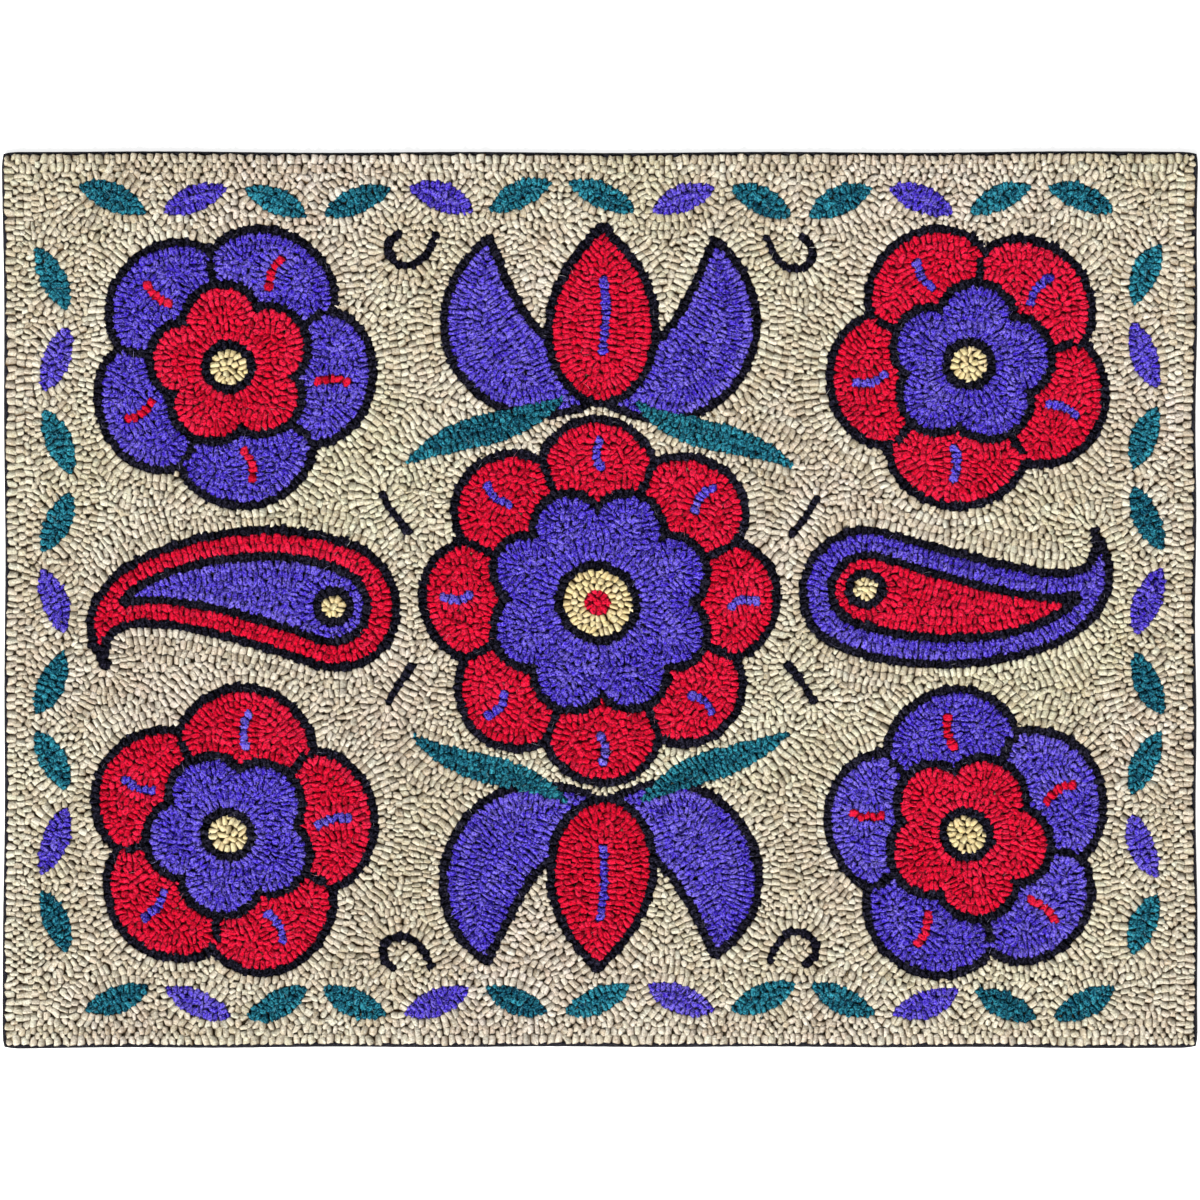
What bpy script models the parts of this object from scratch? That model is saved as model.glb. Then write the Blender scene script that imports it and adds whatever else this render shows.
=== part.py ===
# Hooked wool rug, lying flat with its pile up.
# Metres, +Z up, origin at the middle of the underside, +X along the longer side.
# The hooked panel is the foundation cloth with its pile of wool loops, and four strips of black wool cloth
# bind its edge: each is folded round the edge, mitred at the corners and hemmed to the back.
import math

import bpy
import bmesh

RUG_LENGTH = 0.920  # over the binding, along X
RUG_WIDTH = 0.690  # over the binding, along Y
PILE_TOP = 0.0080  # underside to the top of the loops
PILE_SWELL = 0.0004  # how far the top of the pile rises and falls
BINDING_SHOWN = 0.0040  # width of binding seen from above
BINDING_TOP = 0.0050  # height of the bound edge
BINDING_RETURN = 0.0300  # how far the binding reaches in under the rug
TAPE = 0.0010  # thickness of the binding cloth
EDGE_ROUND = 0.0014  # rounding of the bound edge
GAP = 0.0003  # clearance between neighbouring pieces
PILE_SHOULDER = 0.0030  # width of the rounded rim of the pile
CORNER_PULL = 0.0016  # how far each corner is drawn in
CORNER_REACH = 0.0140  # length of edge over which a corner is drawn in
CORNER_STATIONS = (0.0030, 0.0080, 0.0150)  # stations near each corner, measured in from it
SPANS_X = 30  # even spans between the corner stations, along X
SPANS_Y = 22  # the same, along Y
SWELL_FADE = 0.0300  # width over which the swells of the pile fade out at its rim
SLACK = 0.0005  # extra room for the foundation's edge inside the folded binding
STRAY_SAMPLES = 400  # samples along a side when its least stray is looked for

# How each edge strays inwards from a straight line: hollow at mid side, ripple height, ripples, and phase.
SIDES = {
    "left": {"hollow": 0.0022, "ripple": 0.0007, "ripples": 3.5, "phase": 0.4},
    "right": {"hollow": 0.0019, "ripple": 0.0009, "ripples": 4.5, "phase": 2.1},
    "far": {"hollow": 0.0009, "ripple": 0.0008, "ripples": 4.0, "phase": 1.2},
    "near": {"hollow": 0.0012, "ripple": 0.0006, "ripples": 5.5, "phase": 3.0},
}

# Broad swells of the pile's top: crests along X and along Y, their phases and their share of PILE_SWELL.
SWELLS = (
    {"along_x": 2.3, "along_y": 1.1, "phase_x": 0.3, "phase_y": 1.9, "share": 0.50},
    {"along_x": 1.2, "along_y": 3.2, "phase_x": 2.2, "phase_y": 0.5, "share": 0.30},
    {"along_x": 5.1, "along_y": 4.3, "phase_x": 1.1, "phase_y": 2.7, "share": 0.20},
)

# Rounded rim of the pile: share of PILE_SHOULDER inwards from the pile's edge, and drop below its top.
RIM = (
    {"inwards": 1.00, "drop": 0.0002},
    {"inwards": 0.45, "drop": 0.0008},
    {"inwards": 0.10, "drop": 0.0020},
)

# Profile of the hooked panel from the rim of its top to its underside: inset from the rug's edge, and height.
PILE_EDGE = BINDING_SHOWN + GAP
TONGUE_EDGE = TAPE + GAP + SLACK
TONGUE_TOP = BINDING_TOP - TAPE - GAP
PANEL_PROFILE = tuple(
    {"inset": PILE_EDGE + row["inwards"] * PILE_SHOULDER, "height": PILE_TOP - row["drop"]} for row in RIM
) + (
    {"inset": PILE_EDGE, "height": BINDING_TOP},
    {"inset": PILE_EDGE, "height": TONGUE_TOP},
    {"inset": TONGUE_EDGE, "height": TONGUE_TOP},
    {"inset": TONGUE_EDGE, "height": TAPE + GAP},
    {"inset": BINDING_RETURN + GAP, "height": TAPE + GAP},
    {"inset": BINDING_RETURN + GAP, "height": 0.0},
)
TOP_INSET = PILE_EDGE + 2.0 * PILE_SHOULDER  # where the flat of the top begins

# Section of the folded binding: inset from the rug's edge, and height.
BINDING_SECTION = (
    {"inset": BINDING_RETURN, "height": 0.0},
    {"inset": EDGE_ROUND, "height": 0.0},
    {"inset": 0.0, "height": EDGE_ROUND},
    {"inset": 0.0, "height": BINDING_TOP - EDGE_ROUND},
    {"inset": EDGE_ROUND, "height": BINDING_TOP},
    {"inset": BINDING_SHOWN, "height": BINDING_TOP},
    {"inset": BINDING_SHOWN, "height": BINDING_TOP - TAPE},
    {"inset": TONGUE_EDGE - GAP, "height": BINDING_TOP - TAPE},
    {"inset": TONGUE_EDGE - GAP, "height": TAPE},
    {"inset": BINDING_RETURN, "height": TAPE},
)


def clear_scene():
    for item in list(bpy.data.objects):
        bpy.data.objects.remove(item, do_unlink=True)


def make_material(name, colour, roughness):
    material = bpy.data.materials.new(name)
    material.use_nodes = True
    shader = material.node_tree.nodes["Principled BSDF"]
    shader.inputs["Base Color"].default_value = (*colour, 1.0)
    shader.inputs["Roughness"].default_value = roughness
    shader.inputs["Metallic"].default_value = 0.0
    return material


def stray(side, t):
    # Distance that an edge lies inside its straight line at t, which runs from -1 to 1 along the side.
    row = SIDES[side]
    wave = 0.5 + 0.5 * math.sin(math.pi * row["ripples"] * t + row["phase"])
    return row["hollow"] * (1.0 - t * t) + row["ripple"] * wave


def make_least_strays():
    # The least stray of each side, so that the rug keeps its full length and width.
    steps = [2.0 * i / STRAY_SAMPLES - 1.0 for i in range(STRAY_SAMPLES + 1)]
    return {side: min(stray(side, t) for t in steps) for side in SIDES}


LEAST_STRAY = make_least_strays()


def place(x, y, z):
    # Moves a point of the straight-sided rug to its place in the real, slightly uneven one.
    half_x = 0.5 * RUG_LENGTH
    half_y = 0.5 * RUG_WIDTH
    u = x / half_x
    v = y / half_y
    right = stray("right", v) - LEAST_STRAY["right"]
    left = stray("left", v) - LEAST_STRAY["left"]
    far = stray("far", u) - LEAST_STRAY["far"]
    near = stray("near", u) - LEAST_STRAY["near"]
    share_x = 0.5 + 0.5 * u
    share_y = 0.5 + 0.5 * v
    moved_x = x - right * share_x + left * (1.0 - share_x)
    moved_y = y - far * share_y + near * (1.0 - share_y)
    pull_x = max(0.0, 1.0 - (half_x - abs(x)) / CORNER_REACH)
    pull_y = max(0.0, 1.0 - (half_y - abs(y)) / CORNER_REACH)
    pull = CORNER_PULL * (pull_x * pull_y) ** 2
    return (moved_x - math.copysign(pull, x), moved_y - math.copysign(pull, y), z)


def swell(x, y):
    # Height of the broad swells of the pile at a point, fading out towards the rim.
    total = 0.0
    for row in SWELLS:
        wave_x = math.sin(math.pi * row["along_x"] * x / (0.5 * RUG_LENGTH) + row["phase_x"])
        wave_y = math.sin(math.pi * row["along_y"] * y / (0.5 * RUG_WIDTH) + row["phase_y"])
        total += row["share"] * wave_x * wave_y
    inset = min(0.5 * RUG_LENGTH - abs(x), 0.5 * RUG_WIDTH - abs(y)) - TOP_INSET
    return PILE_SWELL * total * min(1.0, max(0.0, inset / SWELL_FADE))


def stations(half, count):
    # Positions along a side from -half to half, closer together near the corners.
    ends = [half - step for step in (0.0,) + CORNER_STATIONS]
    inner = ends[-1]
    middle = [inner - 2.0 * inner * i / count for i in range(1, count)]
    row = ends + middle + [-value for value in reversed(ends)]
    return sorted(row)


def finish(name, bm, material):
    bmesh.ops.recalc_face_normals(bm, faces=bm.faces)
    mesh = bpy.data.meshes.new(name)
    bm.to_mesh(mesh)
    bm.free()
    mesh.shade_smooth()
    mesh.set_sharp_from_angle(angle=math.radians(40.0))
    mesh.materials.append(material)
    item = bpy.data.objects.new(name, mesh)
    bpy.context.scene.collection.objects.link(item)
    return item


def extrude_ring(bm, ring):
    # Extrudes a closed ring of edges; gives the new ring, and each new vertex with the old one it came from.
    made = bmesh.ops.extrude_edge_only(bm, edges=ring)["geom"]
    new_ring = [item for item in made if isinstance(item, bmesh.types.BMEdge)]
    fresh = {vert for edge in new_ring for vert in edge.verts}
    origin = {}
    for vert in fresh:
        origin[vert] = next(
            edge.other_vert(vert) for edge in vert.link_edges if edge.other_vert(vert) not in fresh
        )
    return new_ring, origin


def make_panel(material):
    # The top is a grid; its border is extruded ring by ring down the profile, and the last ring is filled.
    half_x = 0.5 * RUG_LENGTH
    half_y = 0.5 * RUG_WIDTH
    columns = stations(half_x, SPANS_X)
    rows = stations(half_y, SPANS_Y)
    bm = bmesh.new()
    bmesh.ops.create_grid(bm, x_segments=len(columns) - 1, y_segments=len(rows) - 1, size=1.0)
    straight = {}
    for vert in bm.verts:
        column = round(0.5 * (vert.co.x + 1.0) * (len(columns) - 1))
        row = round(0.5 * (vert.co.y + 1.0) * (len(rows) - 1))
        straight[vert] = (columns[column], rows[row])

    def shift_to(verts, inset, height):
        for vert in verts:
            x = straight[vert][0] * (half_x - inset) / half_x
            y = straight[vert][1] * (half_y - inset) / half_y
            vert.co = place(x, y, height + (swell(x, y) if height > BINDING_TOP else 0.0))

    shift_to(bm.verts, TOP_INSET, PILE_TOP)
    ring = [edge for edge in bm.edges if edge.is_boundary]
    for step in PANEL_PROFILE:
        ring, origin = extrude_ring(bm, ring)
        for vert, source in origin.items():
            straight[vert] = straight[source]
        shift_to(origin, step["inset"], step["height"])
    bmesh.ops.edgeloop_fill(bm, edges=ring)
    return finish("hooked_panel", bm, material)


def make_binding(side, material):
    # One strip: its folded section is extruded from station to station, and each end is cut to the mitre.
    along_x = side in ("far", "near")
    half_run = 0.5 * (RUG_LENGTH if along_x else RUG_WIDTH)
    half_across = 0.5 * (RUG_WIDTH if along_x else RUG_LENGTH)
    sign = 1.0 if side in ("far", "right") else -1.0
    mitre_gap = GAP * math.sqrt(0.5)

    def spot(step, station):
        run = station * (half_run - step["inset"] - mitre_gap) / half_run
        across = sign * (half_across - step["inset"])
        x, y = (run, across) if along_x else (across, run)
        return place(x, y, step["height"])

    marks = stations(half_run, SPANS_X if along_x else SPANS_Y)
    bm = bmesh.new()
    section = [bm.verts.new(spot(step, marks[0])) for step in BINDING_SECTION]
    step_of = dict(zip(section, BINDING_SECTION))
    ring = [bm.edges.new((section[i - 1], vert)) for i, vert in enumerate(section)]
    bm.faces.new(section)
    for mark in marks[1:]:
        ring, origin = extrude_ring(bm, ring)
        for vert, source in origin.items():
            step_of[vert] = step_of[source]
            vert.co = spot(step_of[vert], mark)
    bmesh.ops.edgeloop_fill(bm, edges=ring)
    return finish("binding_" + side, bm, material)


def build():
    clear_scene()
    wool = make_material("wool_pile", (0.56, 0.50, 0.36), 0.95)
    black = make_material("binding_wool", (0.012, 0.012, 0.020), 0.95)
    make_panel(wool)
    for side in SIDES:
        make_binding(side, black)


build()
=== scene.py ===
import math
import bpy
import numpy as np
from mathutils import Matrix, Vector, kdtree


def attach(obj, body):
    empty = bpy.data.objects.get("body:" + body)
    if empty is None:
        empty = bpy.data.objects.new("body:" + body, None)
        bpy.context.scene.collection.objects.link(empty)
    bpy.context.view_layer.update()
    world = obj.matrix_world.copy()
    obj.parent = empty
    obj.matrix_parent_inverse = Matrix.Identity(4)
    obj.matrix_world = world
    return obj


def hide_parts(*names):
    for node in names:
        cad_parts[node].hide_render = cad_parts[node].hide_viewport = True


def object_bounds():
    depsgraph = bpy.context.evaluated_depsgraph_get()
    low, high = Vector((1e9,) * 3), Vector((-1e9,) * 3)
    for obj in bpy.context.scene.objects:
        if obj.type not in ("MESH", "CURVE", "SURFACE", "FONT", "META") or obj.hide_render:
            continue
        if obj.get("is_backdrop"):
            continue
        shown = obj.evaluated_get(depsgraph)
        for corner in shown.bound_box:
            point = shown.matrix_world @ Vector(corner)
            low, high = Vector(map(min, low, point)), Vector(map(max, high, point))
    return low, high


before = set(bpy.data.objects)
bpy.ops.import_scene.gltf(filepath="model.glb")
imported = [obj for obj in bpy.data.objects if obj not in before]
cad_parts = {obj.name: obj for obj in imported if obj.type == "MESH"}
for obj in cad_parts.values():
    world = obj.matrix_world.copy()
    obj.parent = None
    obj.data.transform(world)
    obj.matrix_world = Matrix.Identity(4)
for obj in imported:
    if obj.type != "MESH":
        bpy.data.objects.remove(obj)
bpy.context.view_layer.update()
print("frame loaded:", sorted(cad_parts))

rng = np.random.default_rng(11)
mm = 0.001

# The straight-sided rug, and how its real edges stray from it: the same values as in the solids' source
rug = {
    "length": 0.920,
    "width": 0.690,
    "pileTop": 0.0080,
    "swell": 0.0004,
    "swellFade": 0.0300,
    "bindingShown": 0.0040,
    "bindingTop": 0.0050,
    "bindingReturn": 0.0300,
    "hemRise": 0.0010,  # the cloth lies this much higher on the binding's return
    "hemRun": 0.0080,  # and rises over this width
    "gap": 0.0003,
    "cornerPull": 0.0016,
    "cornerReach": 0.0140,
}
edges = {
    "left": {"hollow": 0.0022, "ripple": 0.0007, "ripples": 3.5, "phase": 0.4},
    "right": {"hollow": 0.0019, "ripple": 0.0009, "ripples": 4.5, "phase": 2.1},
    "far": {"hollow": 0.0009, "ripple": 0.0008, "ripples": 4.0, "phase": 1.2},
    "near": {"hollow": 0.0012, "ripple": 0.0006, "ripples": 5.5, "phase": 3.0},
}
swells = (
    {"alongX": 2.3, "alongY": 1.1, "phaseX": 0.3, "phaseY": 1.9, "share": 0.50},
    {"alongX": 1.2, "alongY": 3.2, "phaseX": 2.2, "phaseY": 0.5, "share": 0.30},
    {"alongX": 5.1, "alongY": 4.3, "phaseX": 1.1, "phaseY": 2.7, "share": 0.20},
)
halfLength = 0.5 * rug["length"]
halfWidth = 0.5 * rug["width"]
halfX = halfLength - rug["bindingShown"] - rug["gap"]  # half of the hooked field
halfY = halfWidth - rug["bindingShown"] - rug["gap"]


def strayFrom(side, t):
    # hollow * (1 - t^2) plus a ripple, t running from -1 to 1 along the side
    row = edges[side]
    wave = 0.5 + 0.5 * np.sin(math.pi * row["ripples"] * t + row["phase"])
    return row["hollow"] * (1.0 - t * t) + row["ripple"] * wave


leastStray = {side: strayFrom(side, np.linspace(-1.0, 1.0, 401)).min() for side in edges}


def placeOnRug(x, y):
    # each side's stray fades linearly to the other side; the corners are drawn in over their reach
    u, v = x / halfLength, y / halfWidth
    along = {"left": v, "right": v, "far": u, "near": u}
    left, right, far, near = (strayFrom(side, t) - leastStray[side] for side, t in along.items())
    movedX = x - right * (0.5 + 0.5 * u) + left * (0.5 - 0.5 * u)
    movedY = y - far * (0.5 + 0.5 * v) + near * (0.5 - 0.5 * v)
    pullX = np.clip(1.0 - (halfLength - np.abs(x)) / rug["cornerReach"], 0.0, None)
    pullY = np.clip(1.0 - (halfWidth - np.abs(y)) / rug["cornerReach"], 0.0, None)
    pull = rug["cornerPull"] * (pullX * pullY) ** 2
    return movedX - np.sign(x) * pull, movedY - np.sign(y) * pull


def insetAt(x, y):
    # distance from the nearest side of the straight-sided rug
    return np.minimum(halfLength - np.abs(x), halfWidth - np.abs(y))


def swellAt(x, y):
    # sum of products of two sine waves, faded out next to the pile's rim
    total = np.zeros_like(x)
    for row in swells:
        waveX = np.sin(math.pi * row["alongX"] * x / halfLength + row["phaseX"])
        waveY = np.sin(math.pi * row["alongY"] * y / halfWidth + row["phaseY"])
        total += row["share"] * waveX * waveY
    inset = insetAt(x, y) - rug["bindingShown"]
    return rug["swell"] * total * np.clip(inset / rug["swellFade"], 0.0, 1.0)


def hemLift(x, y):
    # the rise of the cloth onto the binding's return, eased by the smoothstep t^2 (3 - 2t)
    t = np.clip((rug["bindingReturn"] + rug["hemRun"] - insetAt(x, y)) / rug["hemRun"], 0.0, 1.0)
    return rug["hemRise"] * t * t * (3.0 - 2.0 * t)


def sumOfWaves(rows, x, y):
    # each row is a height, the wave's run along x and along y, and its phase
    return sum(height * np.sin(runX * x + runY * y + phase) for height, runX, runY, phase in rows)


# The drawing on the cloth: a fine chart in which every cell knows its wool, and the drawn row it belongs to
chart = {
    "cell": 0.0008,
    "outline": 0.0067,
    "driftX": ((0.0021, 9.1, 14.3, 0.6), (0.0012, 33.0, -19.0, 2.1)),  # how far a hand-drawn line strays
    "driftY": ((0.0020, 12.7, -8.2, 1.4), (0.0013, 21.0, 37.0, 0.3)),
}
wools = ("oatmeal", "red", "purple", "teal", "black", "cream")  # rows of six values below are in this order
quarters = ((1, 1), (-1, 1), (-1, -1), (1, -1))
cell = chart["cell"]
chartX, chartY = np.meshgrid(
    np.arange(-halfX + 0.5 * cell, halfX, cell), np.arange(-halfY + 0.5 * cell, halfY, cell)
)
drawX = (chartX + sumOfWaves(chart["driftX"], chartX, chartY)).astype(np.float32)
drawY = (chartY + sumOfWaves(chart["driftY"], chartX, chartY)).astype(np.float32)
woolOf = np.zeros(chartX.shape, dtype=np.int16)
rowOf = np.full(chartX.shape, -1, dtype=np.int32)  # number of the drawn row, or -1 in filled areas
drawnRows = []


def bezier(handles, count):
    # a handle is x, y and, for a blob, reach; Bernstein blend: sum of C(n, k) t^k (1 - t)^(n - k) handle k
    columns = np.zeros((3, len(handles)))
    columns[:len(handles[0])] = np.array(handles).T
    t = np.linspace(0.0, 1.0, count)
    last = len(handles) - 1
    blend = np.array([math.comb(last, k) * t**k * (1.0 - t) ** (last - k) for k in range(last + 1)])
    return (columns @ blend).T


def turned(points, angle=0.0, at=(0.0, 0.0), flipX=1.0, flipY=1.0):
    # turned about the origin, moved, then mirrored
    x, y = points[:, 0].copy(), points[:, 1].copy()
    points[:, 0] = flipX * (at[0] + math.cos(angle) * x - math.sin(angle) * y)
    points[:, 1] = flipY * (at[1] + math.sin(angle) * x + math.cos(angle) * y)
    return points


def chartWindow(points, pad):
    # the rows and columns of the chart that hold the points, with some room round them
    low, high = points[:, 1::-1].min(axis=0) - pad, points[:, 1::-1].max(axis=0) + pad
    return tuple(
        slice(max(0, int((start + half) / cell)), min(size, int((stop + half) / cell) + 1))
        for start, stop, half, size in zip(low, high, (halfY, halfX), chartX.shape)
    )


def discField(points, area):
    # distance to the nearest of many discs along a path, less its radius: below zero inside
    best = np.ones(drawX[area].shape, dtype=np.float32)
    for x, y, reach in points:
        best = np.minimum(best, np.hypot(drawX[area] - x, drawY[area] - y) - reach)
    return best


def rosetteField(at, radius, petals, depth, turn, area):
    # r - radius * (1 - depth + depth * |cos(petals * angle / 2)|^0.7), over the length of its slope
    x, y = drawX[area] - at[0], drawY[area] - at[1]
    lobes = np.abs(np.cos(0.5 * petals * (np.arctan2(y, x) - turn))) ** 0.7
    field = np.hypot(x, y) - radius * (1.0 - depth + depth * lobes)
    slopeY, slopeX = np.gradient(field, cell)
    return field / np.maximum(np.hypot(slopeX, slopeY), 0.8)


def crossingsOf(first, second):
    # where a line between two neighbours passes a whole number from zero up, and how far along it
    top = np.maximum(np.floor(first), np.floor(second)).astype(np.int32)
    hit = (np.floor(first) != np.floor(second)) & (top >= 0)
    share = np.where(hit, (top - first) / np.where(hit, second - first, 1.0), 0.0)
    return hit, np.clip(share, 0.0, 1.0), top


def contourChains(field, area=None):
    # marching squares at every whole number from zero up; the crossings are linked through the cells
    hitX, shareX, topX = crossingsOf(field[:, :-1], field[:, 1:])
    hitY, shareY, topY = crossingsOf(field[:-1], field[1:])
    numberX = np.full(hitX.shape, -1, dtype=np.int64)
    numberY = np.full(hitY.shape, -1, dtype=np.int64)
    numberX[hitX] = np.arange(hitX.sum())
    numberY[hitY] = hitX.sum() + np.arange(hitY.sum())
    rowX, colX = np.nonzero(hitX)
    rowY, colY = np.nonzero(hitY)
    offset = (0, 0) if area is None else (area[0].start, area[1].start)
    across = np.concatenate((colX + shareX[hitX], colY.astype(float))) + offset[1] + 0.5
    up = np.concatenate((rowX.astype(float), rowY + shareY[hitY])) + offset[0] + 0.5
    points = np.column_stack((across * cell - halfX, up * cell - halfY))
    levels = np.concatenate((topX[hitX], topY[hitY]))
    sides = np.stack((numberX[:-1], numberY[:, 1:], numberX[1:], numberY[:, :-1]), axis=-1).reshape(-1, 4)
    hits = (sides >= 0).sum(axis=1)
    pairs = -np.sort(-sides[hits == 2], axis=1)[:, :2]
    crossed = sides[hits == 4]
    links = np.concatenate((pairs, crossed[:, [0, 3]], crossed[:, [1, 2]]))
    links = links[levels[links[:, 0]] == levels[links[:, 1]]]
    near = [[] for _ in range(len(points))]
    for a, b in links.tolist():
        near[a].append(b)
        near[b].append(a)
    seen = [False] * len(points)
    ends = [k for k, links in enumerate(near) if len(links) == 1]
    chains = []
    for start in ends + [k for k, links in enumerate(near) if len(links) == 2]:
        if seen[start]:
            continue
        line = []
        here = start
        while here is not None:
            seen[here] = True
            line.append(here)
            here = next((k for k in near[here] if not seen[k]), None)
        chains.append({"points": points[line], "level": int(levels[start]), "closed": len(near[start]) == 2})
    return chains


def paintShape(field, area, wool, outline="black"):
    # fills a shape with one wool and hooks one row of another along its outline
    inside = field < 0.0
    woolOf[area][inside] = wools.index(wool)
    rowOf[area][inside] = -1
    if outline:
        number = len(drawnRows)
        band = np.abs(field) < 0.5 * chart["outline"]
        woolOf[area][band] = wools.index(outline)
        rowOf[area][band] = number
        chains = [chain for chain in contourChains(field.astype(float), area) if chain["level"] == 0]
        drawnRows.append([{"number": number, **chain} for chain in chains if len(chain["points"]) > 8])


def paintRow(handles, wool, count=24, **where):
    # one hooked row along a free path
    points = turned(bezier(handles, count), **where)
    area = chartWindow(points, 2.0 * chart["outline"])
    band = discField(points, area) < 0.5 * chart["outline"]
    number = len(drawnRows)
    woolOf[area][band] = wools.index(wool)
    rowOf[area][band] = number
    x, y = points[:, 0], points[:, 1]
    drifts = [sumOfWaves(chart[key], x, y) for key in ("driftX", "driftY")]
    points = points[:, :2] - np.column_stack(drifts)
    drawnRows.append([{"number": number, "points": points, "level": 0, "closed": False}])


def paintBlob(handles, wool, outline="black", count=32, **where):
    # a shape as wide as its reach at every point of a free path
    points = turned(bezier(handles, count), **where)
    area = chartWindow(points, points[:, 2].max() + 2.0 * chart["outline"])
    paintShape(discField(points, area), area, wool, outline)


def paintRosette(at, radius, petals, depth, turn, wool, outline="black"):
    # a round shape with petals, each as deep as the given share of the radius
    ends = np.array([[at[0] - radius, at[1] - radius], [at[0] + radius, at[1] + radius]])
    area = chartWindow(ends, 2.0 * chart["outline"])
    paintShape(rosetteField(at, radius, petals, depth, turn, area), area, wool, outline)


middleFlower = {
    "radius": 0.139, "petals": 8, "depth": 0.19, "heart": 0.088, "centre": 0.030, "dot": 0.010,
    "parting": ((0.082, 0.0), (0.112, 0.0)),
    "vein": ((0.102, -0.003), (0.112, 0.004), (0.123, -0.001)),
}
cornerFlower = {
    "x": 0.284, "y": 0.181, "radius": 0.111, "petals": 5, "depth": 0.22, "heart": 0.064, "centre": 0.018,
    "parting": ((0.056, 0.0), (0.080, 0.002)),
    "vein": ((0.068, -0.002), (0.079, 0.004), (0.091, 0.0)),
}


def drawFlower(flower, first, second, at=(0.0, 0.0), tilt=0.0):
    # outer petals with a black parting between two and a vein in each, then the heart and its round centre
    petals, depth = flower["petals"], flower["depth"]
    step = 2.0 * math.pi / petals
    paintRosette(at, flower["radius"], petals, depth, tilt, first)
    for k in range(petals):
        paintRow(flower["parting"], "black", 12, angle=tilt + (k + 0.5) * step, at=at)
        paintRow(flower["vein"], second, 12, angle=tilt + k * step, at=at)
    paintRosette(at, flower["heart"], petals, depth, tilt + 0.5 * step, second)
    paintRosette(at, flower["centre"], petals, 0.02, 0.0, "cream")
    if "dot" in flower:
        paintRosette(at, flower["dot"], 6, 0.02, 0.0, first, None)


paisley = {
    "outer": (
        (0.206, 0.006, 0.047), (0.262, -0.014, 0.050), (0.346, -0.024, 0.034), (0.402, 0.000, 0.010),
        (0.380, 0.050, 0.001),
    ),
    "inner": ((0.208, 0.006, 0.027), (0.252, -0.012, 0.030), (0.330, -0.020, 0.015), (0.366, 0.002, 0.002)),
    "eye": ((0.206, 0.006, 0.012), (0.207, 0.006, 0.012)),
}
tulip = {
    "sidePetal": ((0.004, 0.174, 0.018), (0.068, 0.150, 0.036), (0.108, 0.205, 0.048), (0.086, 0.276, 0.001)),
    "midPetal": ((0.0, 0.174, 0.022), (0.0, 0.206, 0.062), (0.0, 0.242, 0.028), (0.0, 0.284, 0.001)),
    "vein": ((0.0, 0.192), (0.003, 0.220), (0.0, 0.246)),
    "leaf": ((0.026, 0.156, 0.001), (0.066, 0.122, 0.015), (0.104, 0.136, 0.015), (0.150, 0.102, 0.001)),
    "curl": ((0.128, 0.280), (0.142, 0.234), (0.180, 0.268), (0.156, 0.282)),
}
dash = ((0.148, 0.050), (0.158, 0.062), (0.166, 0.078))
leafBorder = {
    "leaf": 0.051, "reach": 0.0135, "pitch": 0.0620, "lean": 0.40,
    "rows": ((13, halfY - 0.0330, 0.0), (9, halfX - 0.0345, 0.5 * math.pi)),  # leaves, place and direction
}


def drawPaisley(sign):
    first, second = ("purple", "red") if sign > 0 else ("red", "purple")
    for part, wool in (("outer", first), ("inner", second), ("eye", "cream")):
        paintBlob(paisley[part], wool, flipX=sign, flipY=sign)


def drawTulip(sign):
    for side in (1, -1):
        paintBlob(tulip["sidePetal"], "purple", flipX=side, flipY=sign)
    paintBlob(tulip["midPetal"], "red", flipY=sign)
    paintRow(tulip["vein"], "purple", flipY=sign)
    for side in (1, -1):
        paintBlob(tulip["leaf"], "teal", None, flipX=side, flipY=sign)
        paintRow(tulip["curl"], "black", flipX=side, flipY=sign)


def drawLeafBorder():
    # every third leaf is purple, and neighbours lean opposite ways
    half, belly, reach = 0.5 * leafBorder["leaf"], 0.35 * 0.5 * leafBorder["leaf"], leafBorder["reach"]
    leaf = ((-half, 0.0, 0.001), (-belly, 0.002, reach), (belly, 0.002, reach), (half, 0.0, 0.001))
    for count, across, lay in leafBorder["rows"]:
        for sign in (1, -1):
            for k in range(count):
                run = (k - 0.5 * (count - 1)) * leafBorder["pitch"]
                lean = lay + leafBorder["lean"] * (1 if k % 2 else -1)
                at, flip = ((run, across), "flipY") if lay == 0.0 else ((across, run), "flipX")
                wool = "purple" if k % 3 == 1 else "teal"
                paintBlob(leaf, wool, None, angle=lean, at=at, **{flip: sign})


for signX, signY in quarters:
    first, second = ("red", "purple") if signX * signY > 0 else ("purple", "red")
    at = (cornerFlower["x"] * signX, cornerFlower["y"] * signY)
    drawFlower(cornerFlower, first, second, at, math.atan2(signY, signX))
for sign in (1, -1):
    drawPaisley(sign)
    drawTulip(sign)
drawFlower(middleFlower, "red", "purple")
drawLeafBorder()
for signX, signY in quarters:
    paintRow(dash, "black", 10, flipX=signX, flipY=signY)
shares = {wool: round(float((woolOf == k).mean()), 3) for k, wool in enumerate(wools)}
print("design drawn, share of each wool:", shares)


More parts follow.
